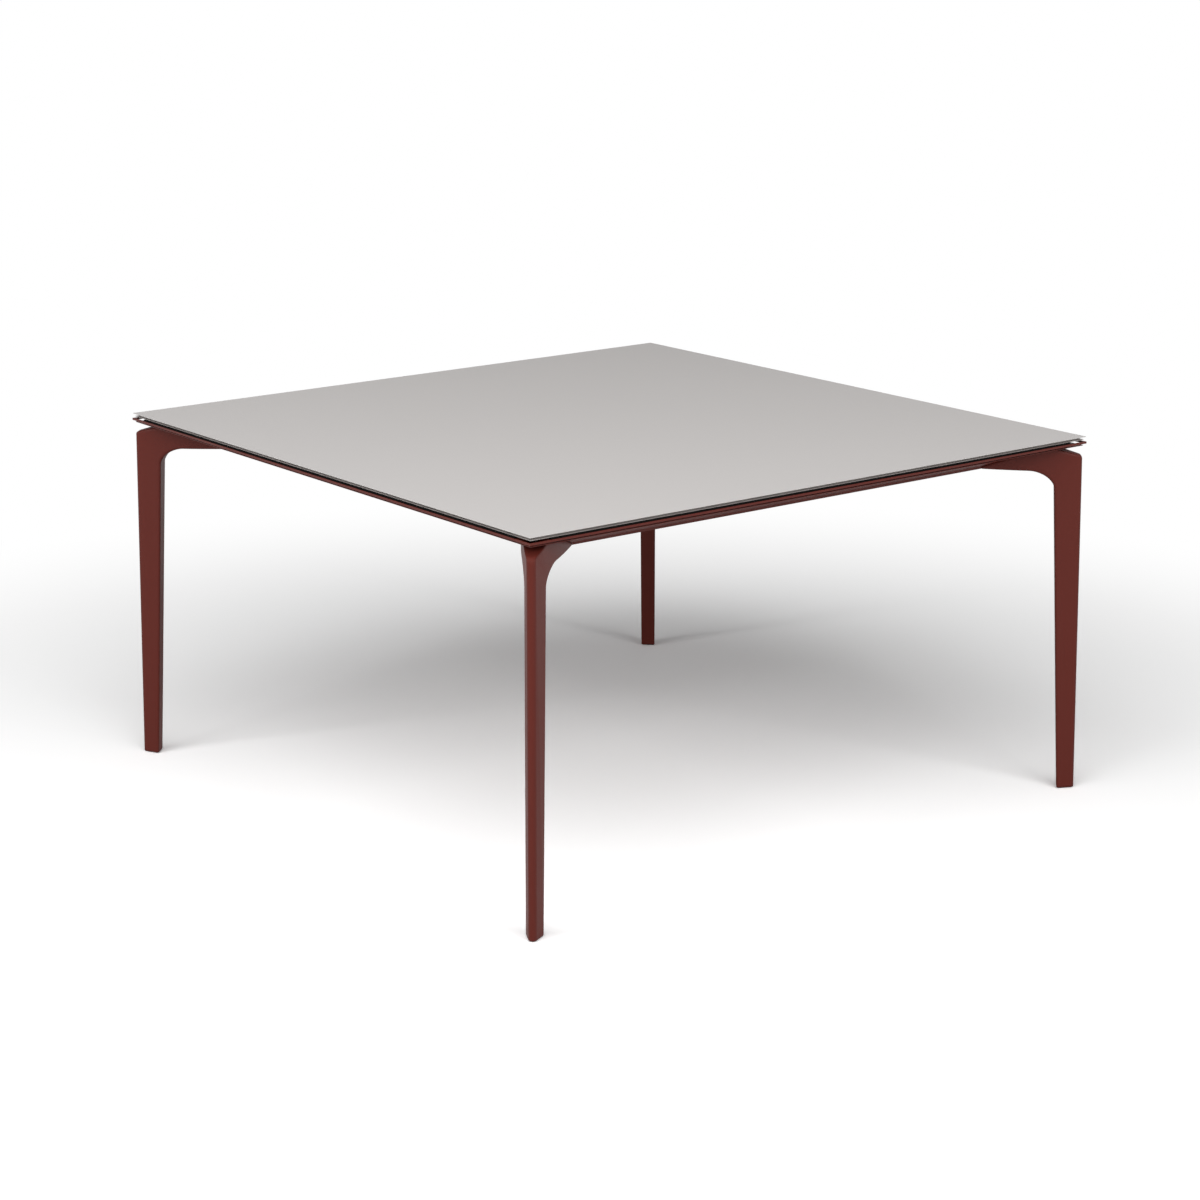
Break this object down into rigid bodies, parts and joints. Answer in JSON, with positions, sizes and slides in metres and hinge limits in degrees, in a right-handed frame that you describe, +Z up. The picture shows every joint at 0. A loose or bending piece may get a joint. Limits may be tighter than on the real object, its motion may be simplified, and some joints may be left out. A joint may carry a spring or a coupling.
{
  "type": "square dining table",
  "caption": "Square dining table with a thin bevelled stone top, a slim hollow-winged metal frame and blade legs at the corners.",
  "frame": {"origin": "on the floor under the middle of the top", "axes": "+Z up; +X and +Y along the sides of the top, with the front left corner at -X -Y"},
  "size_m": [1.413, 1.413, 0.7455],
  "materials": {
    "stone": "honed porcelain stone",
    "glass": "back-painted tempered glass",
    "gasket": "matte black",
    "frame_paint": "fine-textured red-brown powder coat on aluminium",
    "leg_paint": "fine-textured red-brown powder coat on cast aluminium",
    "aluminium": "as extruded",
    "glide": "matte polyamide",
    "steel": "zinc plated"
  },
  "bodies": {
    "table": {"top_slab": "stone", "backing_glass": "glass", "gasket_front": "gasket", "gasket_right": "gasket", "gasket_back": "gasket", "gasket_left": "gasket", "edge_rail_front": "frame_paint", "edge_rail_right": "frame_paint", "edge_rail_back": "frame_paint", "edge_rail_left": "frame_paint", "wing_beam_front": "frame_paint", "wing_beam_right": "frame_paint", "wing_beam_back": "frame_paint", "wing_beam_left": "frame_paint", "leg_block_front_left": "aluminium", "leg_block_front_right": "aluminium", "leg_block_back_right": "aluminium", "leg_block_back_left": "aluminium", "corner_key_front_left": "aluminium", "corner_key_front_right": "aluminium", "corner_key_back_right": "aluminium", "corner_key_back_left": "aluminium", "leg_front_left": "leg_paint", "leg_front_right": "leg_paint", "leg_back_right": "leg_paint", "leg_back_left": "leg_paint", "cross_beam_left": "frame_paint", "cross_beam_right": "frame_paint", "beam_bracket_front_left": "steel", "beam_bracket_front_right": "steel", "beam_bracket_back_right": "steel", "beam_bracket_back_left": "steel", "support_pads": "gasket", "leg_screws": "steel", "frame_screws": "steel", "rail_screws": "steel", "bracket_screws": "steel"},
    "glide_front_left": {"glide_pad_front_left": "glide", "glide_stud_front_left": "steel"},
    "glide_front_right": {"glide_pad_front_right": "glide", "glide_stud_front_right": "steel"},
    "glide_back_right": {"glide_pad_back_right": "glide", "glide_stud_back_right": "steel"},
    "glide_back_left": {"glide_pad_back_left": "glide", "glide_stud_back_left": "steel"}
  },
  "joints": [
    {"name": "glide_screw_front_left", "type": "slide", "parent": "table", "child": "glide_front_left", "axis": [0, 0, -1], "range_m": [0, 0.008]},
    {"name": "glide_screw_front_right", "type": "slide", "parent": "table", "child": "glide_front_right", "axis": [0, 0, -1], "range_m": [0, 0.008]},
    {"name": "glide_screw_back_right", "type": "slide", "parent": "table", "child": "glide_back_right", "axis": [0, 0, -1], "range_m": [0, 0.008]},
    {"name": "glide_screw_back_left", "type": "slide", "parent": "table", "child": "glide_back_left", "axis": [0, 0, -1], "range_m": [0, 0.008]}
  ]
}
